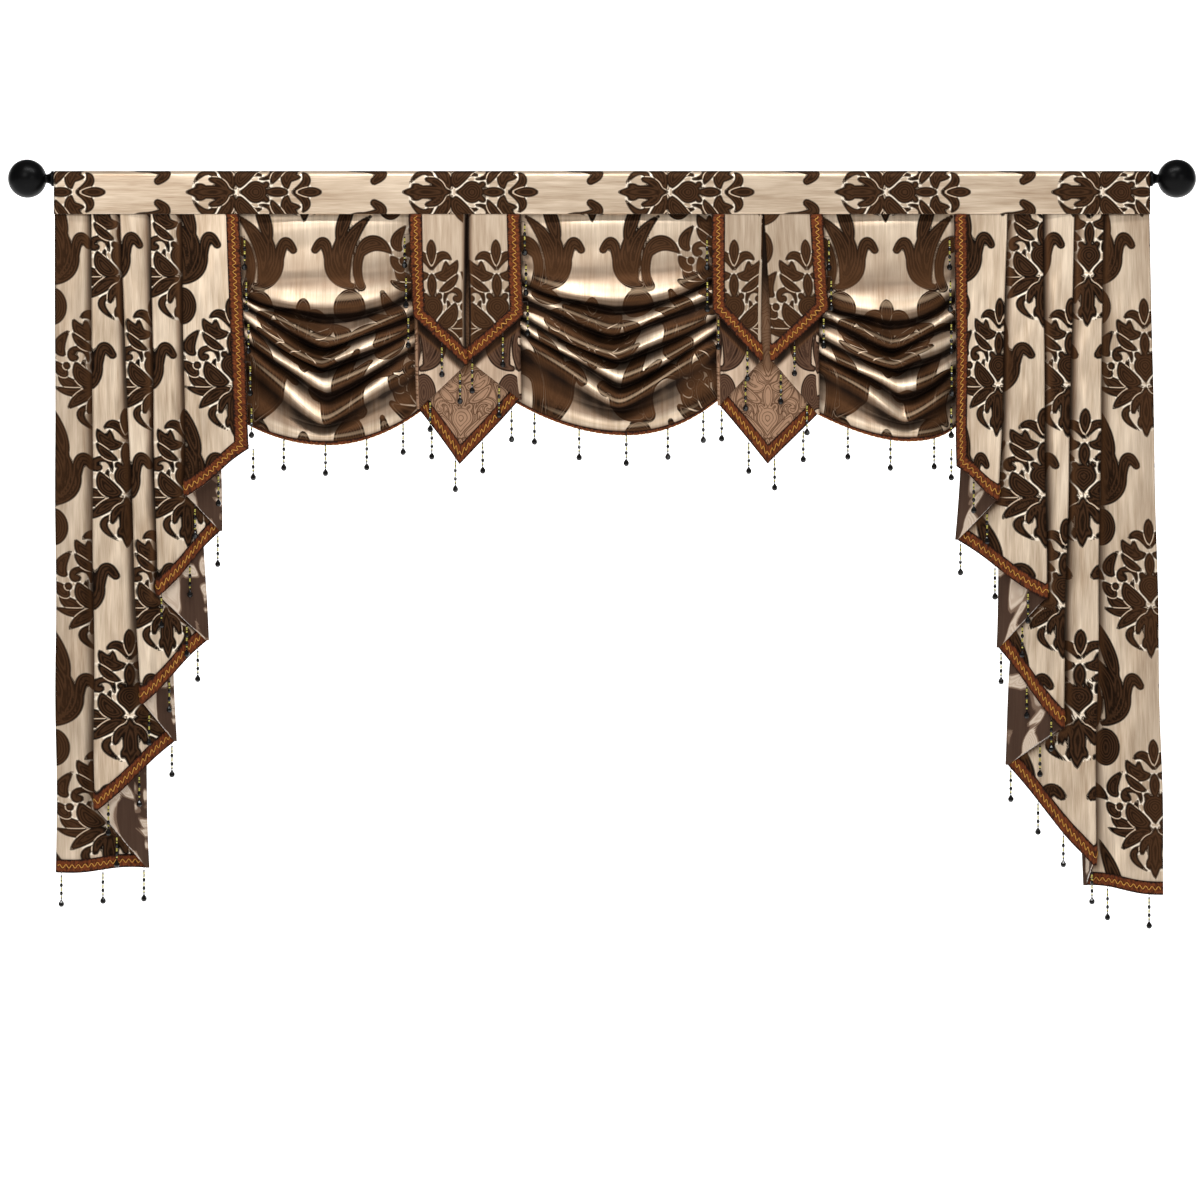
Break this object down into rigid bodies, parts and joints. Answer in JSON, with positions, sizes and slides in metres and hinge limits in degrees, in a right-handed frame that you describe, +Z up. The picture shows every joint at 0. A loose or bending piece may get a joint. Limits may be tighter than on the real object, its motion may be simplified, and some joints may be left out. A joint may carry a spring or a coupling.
{
  "type": "swag and tail drape on a curtain rod",
  "caption": "Damask valance on a curtain rod: rod-pocket heading, soft swags, box-pleated jabots between them and a cascading pleated tail at each side, edged with braid and hanging beads.",
  "frame": {"origin": "on the rod's axis, half way between its ends", "axes": "+X along the rod to the right seen from the front, +Y back towards the wall, +Z up; the cloth's face looks along -Y"},
  "size_m": [2.1678, 0.0886, 1.3989],
  "materials": {
    "damask_cloth": "satin champagne ground with a woven dark brown damask",
    "beaded_braid": "red-brown chenille braid with a gold zigzag and strands of black and green-gold beads",
    "rod_black": "satin black",
    "finial_black": "satin black"
  },
  "bodies": {
    "root": {"heading": "damask_cloth", "swag_left": "damask_cloth", "swag_centre": "damask_cloth", "swag_right": "damask_cloth", "jabot_left": "damask_cloth", "jabot_right": "damask_cloth", "tail_left": "damask_cloth", "tail_right": "damask_cloth", "trim_swag_left": "beaded_braid", "trim_swag_centre": "beaded_braid", "trim_swag_right": "beaded_braid", "trim_jabot_left": "beaded_braid", "trim_jabot_right": "beaded_braid", "trim_tail_left": "beaded_braid", "trim_tail_right": "beaded_braid", "rod": "rod_black", "finial_left": "finial_black", "finial_right": "finial_black"}
  },
  "joints": []
}
